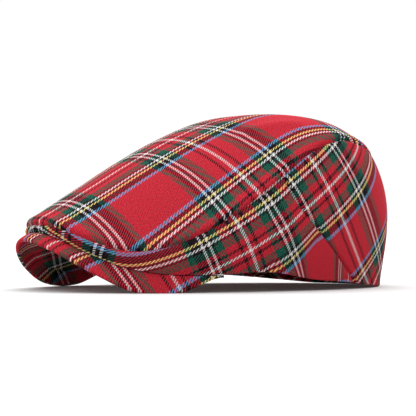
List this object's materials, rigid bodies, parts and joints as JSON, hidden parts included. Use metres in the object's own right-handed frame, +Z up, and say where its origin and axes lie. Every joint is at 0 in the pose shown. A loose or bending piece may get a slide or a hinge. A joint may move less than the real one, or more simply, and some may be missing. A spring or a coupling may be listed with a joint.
{
  "type": "flat cap",
  "caption": "Soft flat cap in checked twill: a low rounded crown sewn from panels, sloping down to a short arched peak, open below for the head.",
  "frame": {"origin": "middle of the cap's outline seen from above, on the surface that the cap rests on", "axes": "+Z up, -Y towards the peak at the front, +X towards the wearer's left"},
  "size_m": [0.1902, 0.2759, 0.122],
  "materials": {
    "tartan": "brushed wool-blend twill, red tartan"
  },
  "bodies": {
    "root": {"top_panel": "tartan", "side_panel_left": "tartan", "side_panel_right": "tartan", "back_panel_left": "tartan", "back_panel_right": "tartan", "peak": "tartan"}
  },
  "joints": []
}
